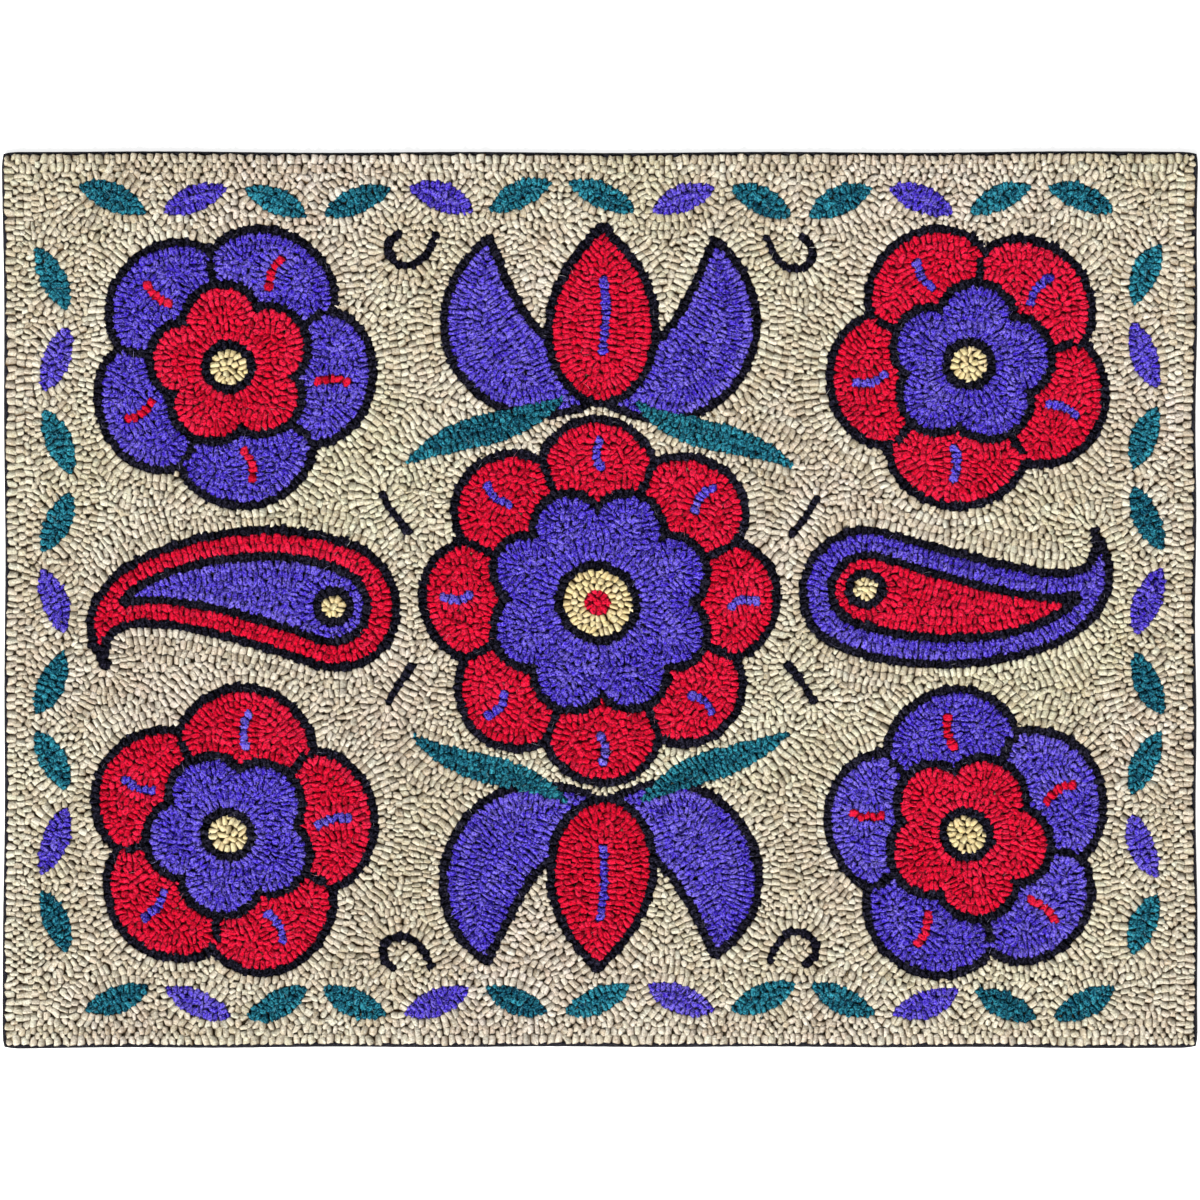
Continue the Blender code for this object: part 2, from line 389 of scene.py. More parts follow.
# Where each loop goes: rows that echo every outline, a loop's length apart
hooking = {
    "rowPitch": 0.0064,  # between rows, about the strip's width
    "loopPitch": (0.0053, 0.0044, 0.0041, 0.0046, 0.0048, 0.0046),
    "edgeLonger": 0.20,  # oatmeal loops are this share longer at the rug's edge, and less up to edgeReach
    "edgeReach": 0.090,
    "waver": ((1.0, 61.0, 23.0, 0.0), (1.0, -37.0, 71.0, 1.7)),  # how rows stray far from an outline
    "waverHeight": 0.0009,
    "waverFrom": 0.02,  # distance from an outline that sets where the waver begins
    "uneven": 0.14,  # how far a loop may be early or late, as a share of the pitch
    "inStep": 0.75,  # share of the rows whose loops line up with those of the row before
    "facing": 1.35,  # loops of the row before face this row within this many row pitches
    "nearest": 0.80,  # loops of two rows that come closer than this share of the pitch are one
    "farthest": 0.0042,  # a bare spot this far from every loop gets one more
    "stripRun": 34,  # loops that one strip of wool gives
    "settle": 0.4,  # how far each loop moves to the middle of its own patch
    "yaw": (0.11, 0.14, 0.14, 0.11, 0.11, 0.11),
    "lipTowards": (-0.40, -0.92),  # the raised lips of most loops face this way
    "lipShare": 0.84,
}
patch = {  # the least and the most of a loop's half length and half width, and of its eight sectors
    "along": (0.0016, 0.0042),
    "across": (0.0020, 0.0046),
    "sectors": (0.70, 1.25),
    "emptySector": 0.85,
    "leastCells": 8,
}


def floodFrom(rows, columns, first, same=None):
    # jump flooding: every cell takes over the nearest seed that its neighbours at halving steps know of
    height, width = woolOf.shape
    best = np.full(woolOf.shape, -1, dtype=np.int32)
    best[rows, columns] = np.arange(len(rows))
    seedY = np.append(rows, -100000).astype(np.float32)  # the last one stands for no seed, far away
    seedX = np.append(columns, -100000).astype(np.float32)
    cellY, cellX = (axis.astype(np.float32) for axis in np.indices(woolOf.shape))
    squared = (cellY - seedY[best]) ** 2 + (cellX - seedX[best]) ** 2
    step = first
    while step >= 1:
        for moveY, moveX in ((a, b) for a in (-step, 0, step) for b in (-step, 0, step) if a or b):
            here, there = (
                (slice(max(0, -y), height - max(0, y)), slice(max(0, -x), width - max(0, x)))
                for y, x in ((moveY, moveX), (-moveY, -moveX))
            )
            seed = best[there]
            squaredNew = (cellY[here] - seedY[seed]) ** 2 + (cellX[here] - seedX[seed]) ** 2
            better = squaredNew < squared[here]
            if same is not None:
                better &= same[here] == same[there]
            best[here] = np.where(better, seed, best[here])
            squared[here] = np.where(better, squaredNew, squared[here])
        step //= 2
    return best, np.sqrt(squared) * cell


def blurred(field, times):
    # half of each cell and an eighth of each of its four neighbours
    for _ in range(times):
        wide = np.pad(field, 1, mode="edge")
        around = wide[:-2, 1:-1] + wide[2:, 1:-1] + wide[1:-1, :-2] + wide[1:-1, 2:]
        field = (around + 4.0 * wide[1:-1, 1:-1]) / 8.0
    return field


def cellOf(points):
    # the chart's row and column under each point
    column = np.clip(((points[:, 0] + halfX) / cell).astype(int), 0, chartX.shape[1] - 1)
    row = np.clip(((points[:, 1] + halfY) / cell).astype(int), 0, chartX.shape[0] - 1)
    return row, column


def smoothChain(points, closed, reach):
    # a running mean with raised-cosine weights
    if len(points) < 2 * reach + 3:
        return points
    weights = np.hanning(2 * reach + 3)[1:-1]
    padded = np.pad(points, ((reach, reach), (0, 0)), mode="wrap" if closed else "edge")
    weights /= weights.sum()
    smooth = np.column_stack([np.convolve(padded[:, k], weights, mode="valid") for k in (0, 1)])
    if not closed:
        smooth[[0, -1]] = points[[0, -1]]
    return smooth


def unitRows(rows):
    # each row over its length; one too short to have a direction runs along X
    length = np.hypot(rows[:, 0], rows[:, 1])[:, None]
    return np.where(length > 1e-6, rows / np.maximum(length, 1e-6), (1.0, 0.0))


def runAlong(points):
    # distance from the first point to each one along the path
    return np.concatenate(([0.0], np.cumsum(np.hypot(*np.diff(points, axis=0).T))))


def inStepWith(before, points, run, pitch):
    # the places along a row that face the loops of the row before, evened out where they crowd or gape
    near = (before > points.min(axis=0) - 0.01).all(axis=1) & (before < points.max(axis=0) + 0.01).all(axis=1)
    if not near.any():
        return None
    apart = np.hypot(before[near, 0, None] - points[None, :, 0], before[near, 1, None] - points[None, :, 1])
    facing = apart.min(axis=1) < hooking["facing"] * hooking["rowPitch"]
    at = np.sort(run[apart.argmin(axis=1)[facing]])
    if len(at) < 3:
        return None
    groups = np.concatenate(([0], np.cumsum(np.diff(at) > 0.60 * pitch)))
    at = np.bincount(groups, at) / np.bincount(groups)
    marks = np.concatenate(([min(0.0, at[0] - pitch)], at, [max(run[-1], at[-1] + pitch)]))
    more = np.maximum(np.round(np.diff(marks) / pitch).astype(int), 1)
    step = np.repeat(np.diff(marks) / more, more)
    place = np.concatenate(([marks[0]], marks[0] + np.cumsum(step)))
    return place[(place > 0.3 * pitch) & (place < run[-1] - 0.3 * pitch)]


def loopsAlong(chain, reach, before=None):
    # points a loop's length apart along a chain, each a little early or late, with the row's direction there
    points = smoothChain(chain["points"], chain["closed"], reach)
    if chain["closed"]:
        points = np.vstack((points, points[:1]))
    run = runAlong(points)
    middle = points[len(points) // 2:len(points) // 2 + 1]
    wool = int(woolOf[cellOf(middle)][0])
    pitch = hooking["loopPitch"][wool]
    if wools[wool] == "oatmeal":
        inset = min(halfX - abs(middle[0, 0]), halfY - abs(middle[0, 1]))
        pitch *= 1.0 + hooking["edgeLonger"] * max(0.0, 1.0 - inset / hooking["edgeReach"])
    if run[-1] < 0.35 * pitch:
        return None
    count = max(1, int(round(run[-1] / pitch)))
    at = (np.arange(count) + 0.5) * run[-1] / count
    if before is not None and len(before) and rng.uniform() < hooking["inStep"]:
        stepped = inStepWith(before, points, run, pitch)
        if stepped is not None and len(stepped):
            at, count = stepped, len(stepped)
    at = at + rng.uniform(-hooking["uneven"], hooking["uneven"], count) * pitch
    reachOut = min(0.002, 0.3 * run[-1])
    spot, ahead, behind = (
        np.column_stack([np.interp(at + step, run, points[:, k]) for k in (0, 1)])
        for step in (0.0, reachOut, -reachOut)
    )
    strip = (np.arange(count) + rng.integers(hooking["stripRun"])) // hooking["stripRun"]
    return {
        "spot": spot,
        "heading": unitRows(ahead - behind),
        "tint": rng.uniform(0.0, 1.0, strip.max() + 1)[strip],
        "index": np.arange(count),
        "pitch": np.full(count, pitch),
    }


region = np.where(rowOf >= 0, len(wools) + rowOf, woolOf)
border = np.ones(region.shape, dtype=bool)
inner = region[1:-1, 1:-1]
beside = (region[:-2, 1:-1], region[2:, 1:-1], region[1:-1, :-2], region[1:-1, 2:])
border[1:-1, 1:-1] = np.any([inner != other for other in beside], axis=0)
away = blurred(floodFrom(*np.nonzero(border), 64)[1] + 0.5 * cell, 4)  # distance to the nearest outline
waver = sumOfWaves(hooking["waver"], chartX, chartY)
waver = hooking["waverHeight"] * waver * np.clip(away / hooking["waverFrom"] - 0.3, 0.0, 1.0)
rowLevel = (away + waver) / hooking["rowPitch"] - 0.5  # whole numbers are the rows' middles
rowLevel[rowOf >= 0] = -1.0


def setOutRows():
    # the drawn rows first, then the echoing rows from each outline inwards, each in step with the one before
    keys = ("spot", "heading", "tint", "index", "pitch", "chain", "length", "rank")
    found = {key: [] for key in keys}

    def keep(loops, mine, rank):
        extra = {"chain": len(found["chain"]), "length": len(mine), "rank": rank}
        for key in keys:
            found[key].append(loops[key][mine] if key in loops else np.full(mine.sum(), extra[key]))

    for chain in [chain for row in drawnRows for chain in row]:
        loops = loopsAlong(chain, 4 if chain["closed"] or len(chain["points"]) > 30 else 0)
        if loops is not None:
            keep(loops, rowOf[cellOf(loops["spot"])] == chain["number"], 0)
    chains = [chain for chain in contourChains(rowLevel) if len(chain["points"]) > 2]
    before = {}
    for level in range(1 + max(chain["level"] for chain in chains)):
        now = {}
        for chain in [chain for chain in chains if chain["level"] == level]:
            area = int(region[cellOf(chain["points"][:1])][0])
            loops = loopsAlong(chain, 5, before.get(area))
            if loops is not None:
                keep(loops, np.ones(len(loops["spot"]), dtype=bool), 1 + level)
                now.setdefault(area, []).append(loops["spot"])
        before = {area: np.concatenate(spots) for area, spots in now.items()}
    return {key: np.concatenate(value) for key, value in found.items()}


def dropCrowded(loops):
    # from the outlines inwards, each loop that stays removes the later ones of other rows that are too near
    count = len(loops["spot"])
    tree = kdtree.KDTree(count)
    for k, (x, y) in enumerate(loops["spot"].tolist()):
        tree.insert((x, y, 0.0), k)
    tree.balance()
    order = np.argsort(loops["rank"], kind="stable")
    place = np.empty(count, dtype=int)
    place[order] = np.arange(count)
    chain, index, length = (loops[key].tolist() for key in ("chain", "index", "length"))
    gone = np.zeros(count, dtype=bool)
    for k in order.tolist():
        if not gone[k]:
            x, y = loops["spot"][k]
            for _, other, _ in tree.find_range((x, y, 0.0), hooking["nearest"] * loops["pitch"][k]):
                step = abs(index[k] - index[other])
                nextTo = chain[k] == chain[other] and min(step, length[k] - step) <= 2
                gone[other] |= place[other] > place[k] and not nextTo
    return {key: loops[key][~gone] for key in ("spot", "heading", "tint", "rank")}


def fillBare(loops):
    # the barest spots get a loop each, the farthest from all others first
    distance = floodFrom(*cellOf(loops["spot"]), 8, region)[1]
    bareY, bareX = np.nonzero((distance > hooking["farthest"]) & (rowOf < 0))
    taken = np.zeros(region.shape, dtype=bool)
    reach = int(hooking["farthest"] / cell)
    spots = []
    for k in np.argsort(-distance[bareY, bareX], kind="stable").tolist():
        row, column = bareY[k], bareX[k]
        if not taken[row, column]:
            spots.append((chartX[row, column], chartY[row, column]))
            taken[max(0, row - reach):row + reach + 1, max(0, column - reach):column + reach + 1] = True
    if not spots:
        return loops
    spots = np.array(spots)
    slopeY, slopeX = np.gradient(away, cell)
    more = {
        "spot": spots,
        "heading": unitRows(np.column_stack((-slopeY[cellOf(spots)], slopeX[cellOf(spots)]))),
        "tint": rng.uniform(0.0, 1.0, len(spots)),
        "rank": np.full(len(spots), 50.0),
    }
    return {key: np.concatenate((loops[key], more[key])) for key in loops}


def patchesOf(spots):
    # the chart's cells that are nearest to each loop in its own region: their owner, number and middle
    owner = floodFrom(*cellOf(spots), 8, region)[0].ravel()
    held = owner >= 0
    values = (np.ones(owner.shape), chartX.ravel(), chartY.ravel())
    cells, sumX, sumY = (np.bincount(owner[held], value[held], len(spots)) for value in values)
    return owner, cells, np.column_stack((sumX, sumY)) / np.maximum(cells, 1.0)[:, None]


loops = dropCrowded(setOutRows())
for _ in range(2):
    loops = fillBare(loops)
count = len(loops["spot"])
for _ in range(2):  # each loop settles towards the middle of its own patch of cloth
    owner, cells, middle = patchesOf(loops["spot"])
    settled = loops["spot"] + hooking["settle"] * (middle - loops["spot"])
    loops["spot"] = np.where(cells[:, None] > 1.0, settled, loops["spot"])
print("loops set out:", count)

# The patch of cloth that each loop covers gives its length, width and outline
owner, cells, middle = patchesOf(loops["spot"])
held = owner >= 0
loops["wool"] = woolOf[cellOf(loops["spot"])]
yaw = rng.normal(0.0, 1.0, count) * np.array(hooking["yaw"])[loops["wool"]]
headX, headY = loops["heading"].T
facing = headX * hooking["lipTowards"][0] + headY * hooking["lipTowards"][1]
lip = np.where(facing >= 0.0, 1.0, -1.0)
lip *= np.where(rng.uniform(0.0, 1.0, count) < hooking["lipShare"], 1.0, -1.0)
headX, headY = headX * lip, headY * lip
headX, headY = headX * np.cos(yaw) - headY * np.sin(yaw), headX * np.sin(yaw) + headY * np.cos(yaw)
loops["heading"] = np.column_stack((headX, headY))
own = owner[held]
offX, offY = chartX.ravel()[held] - middle[own, 0], chartY.ravel()[held] - middle[own, 1]
offsets = {"along": offX * headX[own] + offY * headY[own], "across": offY * headX[own] - offX * headY[own]}
for key, offset in offsets.items():  # half the side of a box with the same spread is root 3 times the spread
    half = np.sqrt(3.0 * np.bincount(own, offset**2, count) / np.maximum(cells, 1.0))
    loops[key] = np.clip(half, *patch[key])
loops["spot"] = middle

# Eight sectors round each loop: how far its patch reaches there, 1.5 times the mean square radius
shareP, shareQ = (offset / loops[key][own] for key, offset in offsets.items())
squareRadius = np.maximum(np.abs(shareP), np.abs(shareQ))
sector = own * 8 + np.round(np.arctan2(shareQ, shareP) / (0.25 * math.pi)).astype(int) % 8
sectorCells = np.bincount(sector, minlength=8 * count)
reach = 1.5 * np.bincount(sector, squareRadius, 8 * count) / np.maximum(sectorCells, 1)
reach = np.clip(reach, *patch["sectors"])
loops["sectors"] = np.where(sectorCells > 1, reach, patch["emptySector"]).reshape(count, 8)
loops = {key: value[cells >= patch["leastCells"]] for key, value in loops.items()}
count = len(loops["spot"])
loops["shade"] = rng.uniform(0.0, 1.0, count)
print("loops kept:", count, {wool: int((loops["wool"] == k).sum()) for k, wool in enumerate(wools)})
print("loop length and width, mm:", *((2000 * np.median(loops[key])).round(2) for key in offsets))


# Meshes from whole arrays
def linked(name, data):
    item = bpy.data.objects.new(name, data)
    bpy.context.scene.collection.objects.link(item)
    return item


def makePiece(name, points, faces, material, attributes, maps, node="hooked_panel", slot="hooked_wool"):
    # faces is a list of arrays, each with the corners of faces that have equally many;
    # attributes and maps hold one number, colour or pair for each point
    corners = np.concatenate([part.reshape(-1) for part in faces]).astype(np.int32)
    sizes = np.concatenate([np.full(len(part), part.shape[1]) for part in faces])
    mesh = bpy.data.meshes.new(name)
    mesh.vertices.add(len(points))
    mesh.vertices.foreach_set("co", points.reshape(-1).astype(np.float32))
    mesh.loops.add(len(corners))
    mesh.loops.foreach_set("vertex_index", corners)
    mesh.polygons.add(len(sizes))
    mesh.polygons.foreach_set("loop_start", (np.cumsum(sizes) - sizes).astype(np.int32))
    mesh.polygons.foreach_set("use_smooth", np.ones(len(sizes), dtype=bool))
    mesh.update(calc_edges=True)
    for key, values in attributes.items():
        kind, field = ("FLOAT", "value") if values.size == len(points) else ("FLOAT_COLOR", "color")
        layer = mesh.attributes.new(key, kind, "POINT")
        layer.data.foreach_set(field, values.reshape(-1).astype(np.float32))
    for key, values in maps.items():
        layer = mesh.uv_layers.new(name=key)
        layer.data.foreach_set("uv", values.reshape(-1, 2)[corners].reshape(-1).astype(np.float32))
    mesh.materials.append(material)
    mesh.validate()
    piece = linked(name, mesh)
    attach(piece, "root")
    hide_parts(node)
    return piece


def gridPiece(name, grids, material, attributes, maps):
    # grids is (grids, rows, columns, 3); a face's outside is row direction cross column direction
    count, rows, columns, _ = grids.shape
    point = np.arange(rows * columns).reshape(rows, columns)
    quad = np.stack((point[:-1, :-1], point[1:, :-1], point[1:, 1:], point[:-1, 1:]), axis=-1).reshape(-1, 4)
    quads = (quad[None] + (np.arange(count) * rows * columns)[:, None, None]).reshape(-1, 4)
    return makePiece(name, grids.reshape(-1, 3), [quads], material, attributes, maps)


def tubePiece(name, rings, material, attributes, maps, *nodeAndSlot):
    # rings is (tubes, rings, sides, 3), each counter-clockwise seen from the far end; the ends are closed
    tubes, count, sides, _ = rings.shape
    point = np.arange(tubes * count * sides).reshape(tubes, count, sides)
    beside = np.roll(point, -1, axis=2)
    quad = np.stack((point[:, :-1], beside[:, :-1], beside[:, 1:], point[:, 1:]), axis=-1).reshape(-1, 4)
    caps = np.concatenate((point[:, 0, ::-1], point[:, -1]))
    return makePiece(name, rings.reshape(-1, 3), [quad, caps], material, attributes, maps, *nodeAndSlot)


def atlas(count, rows, columns, margin=0.06):
    # every grid gets its own cell of a square lattice, with a margin round it
    side = math.ceil(math.sqrt(count))
    column, row = np.arange(count) % side, np.arange(count) // side
    runU, runV = np.linspace(0.0, 1.0, rows)[None, :, None], np.linspace(0.0, 1.0, columns)[None, None, :]
    u = (column[:, None, None] + margin + (1.0 - 2.0 * margin) * runU) / side
    v = (row[:, None, None] + margin + (1.0 - 2.0 * margin) * runV) / side
    return np.stack(np.broadcast_arrays(u, v), axis=-1)


# Materials
def srgb(*values):
    # sRGB values from 0 to 255 as linear ones: ((s + 0.055) / 1.055)^2.4 above the toe
    scaled = [value / 255.0 for value in values]
    linear = [((s + 0.055) / 1.055) ** 2.4 if s > 0.04045 else s / 12.92 for s in scaled]
    return (*linear, 1.0)


def feed(socket, value):
    # links a socket to another one, or gives it a plain value
    if isinstance(value, bpy.types.NodeSocket):
        socket.id_data.links.new(value, socket)
    else:
        socket.default_value = value


def addNode(tree, kind, inputs, **settings):
    # inputs holds a socket or a plain value for each name or number of an input
    node = tree.nodes.new("ShaderNode" + kind)
    for key, value in settings.items():
        setattr(node, key, value)
    for key, value in inputs.items():
        feed(node.inputs[key], value)
    return node


def mathNode(tree, operation, *values):
    # here and below, a value is a number, a colour or the socket that gives it
    return addNode(tree, "Math", dict(enumerate(values)), operation=operation).outputs[0]


def mapRange(tree, value, fromLow, fromHigh, toLow=0.0, toHigh=1.0):
    inputs = {"Value": value, "From Min": fromLow, "From Max": fromHigh, "To Min": toLow, "To Max": toHigh}
    return addNode(tree, "MapRange", inputs).outputs[0]


def mixColours(tree, factor, first, second, blend="MIX"):
    mix = addNode(tree, "Mix", {}, data_type="RGBA", blend_type=blend, clamp_factor=True)
    for key, value in ((0, factor), (6, first), (7, second)):
        feed(mix.inputs[key], value)
    return mix.outputs[2]


def noiseNode(tree, vector, scale, detail=2.0, roughness=0.5):
    inputs = {"Vector": vector, "Scale": scale, "Detail": detail, "Roughness": roughness}
    return addNode(tree, "TexNoise", inputs).outputs["Fac"]


def foldsOf(tree, noise, low, high, toLow=0.0, toHigh=1.0):
    # distance of a noise from its middle value, which draws thin wandering lines
    distance = mathNode(tree, "ABSOLUTE", mathNode(tree, "SUBTRACT", noise, 0.5))
    return mapRange(tree, distance, low, high, toLow, toHigh)


def objectPlace(tree):
    return addNode(tree, "TexCoord", {}).outputs["Object"]


def stripMap(tree):
    return addNode(tree, "UVMap", {}, uv_map="strip").outputs["UV"]


def attributeNode(tree, name):
    return addNode(tree, "Attribute", {}, attribute_name=name)


def newMaterial(name):
    material = bpy.data.materials.new(name)
    material.use_nodes = True
    return material, material.node_tree


def finishMaterial(tree, colour, finish, height=None):
    # the colour and the bump come from nodes; everything else is a plain value of the shader
    shader = tree.nodes["Principled BSDF"]
    feed(shader.inputs["Base Color"], colour)
    shader.inputs["Roughness"].default_value = finish["roughness"]
    shader.inputs["Specular IOR Level"].default_value = finish["specular"]
    shader.inputs["Sheen Weight"].default_value = finish.get("sheen", 0.0)
    shader.inputs["Sheen Roughness"].default_value = finish.get("sheenRoughness", 0.5)
    if height is not None:
        inputs = {"Strength": finish["bump"], "Distance": finish["bumpDepth"], "Height": height}
        feed(shader.inputs["Normal"], addNode(tree, "Bump", inputs).outputs["Normal"])


strip = {
    "fleckScale": 620.0,
    "foldScale": 330.0,
    "curlScale": 400.0,
    "speckScale": 520.0,
    "patchScale": 4.5,
    "fuzzScale": 1700.0,
    "streaks": (260.0, 1500.0, 1.0),  # about 4 mm long and 0.7 mm wide
    "casts": ((1.02, 0.98, 0.97, 1.0), (0.97, 1.00, 0.96, 1.0)),  # from loop to loop
    "patchCasts": ((1.02, 0.99, 1.03, 1.0), (0.98, 1.01, 0.90, 1.0)),  # from one part of the rug to another
    "shadow": (0.40 * mm, 1.9 * mm),  # depth below the loops' tops where the painted shade begins and is full
    "threads": {"Scale": 320.0, "Distortion": 2.5, "Detail": 1.0, "Detail Scale": 1.5},
}


def makeStripGroup():
    # Colour: dark, mid and light wool mixed by strip, by loop, by fleck and by streak, with a slight cast of
    # its own for each loop, painted highlights along curly strokes that are partly pale fibres, and painted
    # shade in creases, in dark specks and down the loops' sides into the gaps.
    # Height: threads across the strip, felted fuzz and a soft crumple.
    group = bpy.data.node_groups.new("woolStrip", "ShaderNodeTree")
    for label in ("Mid", "Light", "Dark", "Painted_shade"):
        group.interface.new_socket(label, in_out="INPUT", socket_type="NodeSocketColor")
    for label in ("Strips", "Flecks", "Folds", "Streaks", "Crease_shade", "Stroke_highlights", "Speck_shade", "Patches"):
        group.interface.new_socket(label, in_out="INPUT", socket_type="NodeSocketFloat")
    group.interface.new_socket("Colour", in_out="OUTPUT", socket_type="NodeSocketColor")
    group.interface.new_socket("Height", in_out="OUTPUT", socket_type="NodeSocketFloat")
    given = group.nodes.new("NodeGroupInput").outputs
    end = group.nodes.new("NodeGroupOutput")
    place, alongStrip = objectPlace(group), stripMap(group)
    tint, shade, drop = (attributeNode(group, name).outputs["Fac"] for name in ("tint", "shade", "drop"))

    def blendIn(colour, mask, amount, other):
        return mixColours(group, mathNode(group, "MULTIPLY", mask, amount), colour, other)

    def castOver(colour, factor, casts):
        return mixColours(group, 1.0, colour, mixColours(group, factor, *casts), "MULTIPLY")

    fleck = mapRange(group, noiseNode(group, place, strip["fleckScale"], 3.0, 0.65), 0.34, 0.66, -1.0, 1.0)
    folds = foldsOf(group, noiseNode(group, place, strip["foldScale"], 3.0, 0.55), 0.0, 0.16)
    stretch = addNode(group, "VectorMath", {0: alongStrip, 1: strip["streaks"]}, operation="MULTIPLY")
    streak = mapRange(group, noiseNode(group, stretch.outputs[0], 1.0), 0.56, 0.70)
    byStrip = mapRange(group, tint, 0.0, 1.0, -1.0, 1.0)
    byLoop = mapRange(group, shade, 0.0, 1.0, -0.5, 0.5)
    blend = mathNode(group, "MULTIPLY", byStrip, given["Strips"])
    for value, amount in ((fleck, "Flecks"), (byLoop, "Strips"), (streak, "Streaks")):
        blend = mathNode(group, "MULTIPLY_ADD", value, given[amount], blend)
    lighter = mathNode(group, "MAXIMUM", blend, 0.0)
    darker = mathNode(group, "MAXIMUM", mathNode(group, "MULTIPLY", blend, -1.0), 0.0)
    colour = mixColours(group, lighter, given["Mid"], given["Light"])
    colour = mixColours(group, darker, colour, given["Dark"])
    chance = mathNode(group, "FRACT", mathNode(group, "MULTIPLY", shade, 7.3))
    colour = castOver(colour, chance, strip["casts"])
    patches = mapRange(group, noiseNode(group, place, strip["patchScale"]), 0.36, 0.64)
    colour = castOver(colour, mathNode(group, "MULTIPLY", patches, given["Patches"]), strip["patchCasts"])
    # painted shade in the creases of a crumple noise, where the strip's folds would lie in shade
    colour = blendIn(colour, mapRange(group, folds, 0.0, 0.5, 1.0, 0.0), given["Crease_shade"], given["Painted_shade"])
    # painted highlights along thin curly lines, partly pale fibres of the wool; the same lines also raise the
    # bump
    curls = foldsOf(group, noiseNode(group, place, strip["curlScale"]), 0.015, 0.055, 1.0, 0.0)
    stroke_highlights = mathNode(group, "MULTIPLY", curls, given["Stroke_highlights"])
    colour = mixColours(group, stroke_highlights, colour, given["Light"])
    # dark specks of painted shade, blended towards the painted shade colour
    speck_shade = mapRange(group, noiseNode(group, place, strip["speckScale"], 1.0), 0.57, 0.67)
    colour = blendIn(colour, speck_shade, given["Speck_shade"], given["Painted_shade"])
    # painted shade: darker down each loop's sides, into the gaps between loops
    colour = mixColours(group, mapRange(group, drop, *strip["shadow"]), colour, given["Painted_shade"])
    feed(end.inputs["Colour"], colour)
    threads = addNode(group, "TexWave", {"Vector": alongStrip, **strip["threads"]}, bands_direction="X")
    height = mathNode(group, "MULTIPLY", threads.outputs["Fac"], 0.10)
    fuzz = noiseNode(group, place, strip["fuzzScale"], 4.0, 0.7)
    for value, amount in ((fuzz, 0.30), (folds, given["Folds"]), (stroke_highlights, 0.5)):
        height = mathNode(group, "MULTIPLY_ADD", value, amount, height)
    feed(end.inputs["Height"], height)
    return group


# each wool's painted shade colour is painted as shade into the gaps, the creases and the dark specks
woolColours = {
    "oatmeal": {
        "mid": srgb(221, 210, 190), "light": srgb(255, 254, 243),
        "dark": srgb(180, 159, 126), "painted_shade": srgb(82, 60, 32),
        "strips": 0.35, "flecks": 0.38, "folds": 0.70, "streaks": 0.35, "crease_shade": 0.16,
        "stroke_highlights": 0.34, "speck_shade": 0.20, "patches": 1.0, "sheen": 0.08, "specular": 0.12,
    },
    "red": {
        "mid": srgb(232, 0, 46), "light": srgb(255, 54, 100),
        "dark": srgb(176, 0, 30), "painted_shade": srgb(58, 0, 8),
        "strips": 0.25, "flecks": 0.45, "folds": 0.90, "streaks": 0.35, "crease_shade": 0.28,
        "stroke_highlights": 0.38, "speck_shade": 0.72, "patches": 0.3, "sheen": 0.02, "specular": 0.08,
    },
    "purple": {
        "mid": srgb(68, 40, 220), "light": srgb(158, 144, 255),
        "dark": srgb(42, 20, 158), "painted_shade": srgb(6, 1, 42),
        "strips": 0.30, "flecks": 0.55, "folds": 1.00, "streaks": 0.35, "crease_shade": 0.36,
        "stroke_highlights": 0.55, "speck_shade": 0.95, "patches": 0.3, "sheen": 0.02, "specular": 0.08,
    },
    "teal": {
        "mid": srgb(0, 66, 92), "light": srgb(68, 182, 204),
        "dark": srgb(0, 36, 64), "painted_shade": srgb(0, 12, 24),
        "strips": 0.30, "flecks": 0.80, "folds": 0.80, "streaks": 0.55, "crease_shade": 0.30,
        "stroke_highlights": 0.45, "speck_shade": 0.75, "patches": 0.3, "sheen": 0.02, "specular": 0.08,
    },
    "black": {
        "mid": srgb(2, 2, 6), "light": srgb(80, 78, 104),
        "dark": srgb(2, 2, 5), "painted_shade": srgb(1, 1, 3),
        "strips": 0.10, "flecks": 0.50, "folds": 0.70, "streaks": 0.25, "crease_shade": 0.60,
        "stroke_highlights": 0.22, "speck_shade": 0.70, "patches": 0.0, "sheen": 0.0, "specular": 0.03,
    },
    "cream": {
        "mid": srgb(240, 224, 170), "light": srgb(255, 248, 216),
        "dark": srgb(222, 192, 118), "painted_shade": srgb(96, 68, 26),
        "strips": 0.30, "flecks": 0.25, "folds": 0.55, "streaks": 0.35, "crease_shade": 0.14,
        "stroke_highlights": 0.30, "speck_shade": 0.12, "patches": 0.3, "sheen": 0.10, "specular": 0.12,
    },
}
woolFinish = {"roughness": 0.92, "bump": 0.8, "bumpDepth": 0.7 * mm}
stripGroup = makeStripGroup()


def woolMaterial(wool):
    # the strip group takes its colours and amounts from the wool's row
    colours = woolColours[wool]
    material, tree = newMaterial("wool_" + wool)
    effect = addNode(tree, "Group", {}, node_tree=stripGroup)
    for socket in effect.inputs:
        socket.default_value = colours[socket.name.lower()]
    finish = {**woolFinish, "specular": colours["specular"], "sheen": colours["sheen"]}
    finishMaterial(tree, effect.outputs["Colour"], finish, effect.outputs["Height"])
    return material


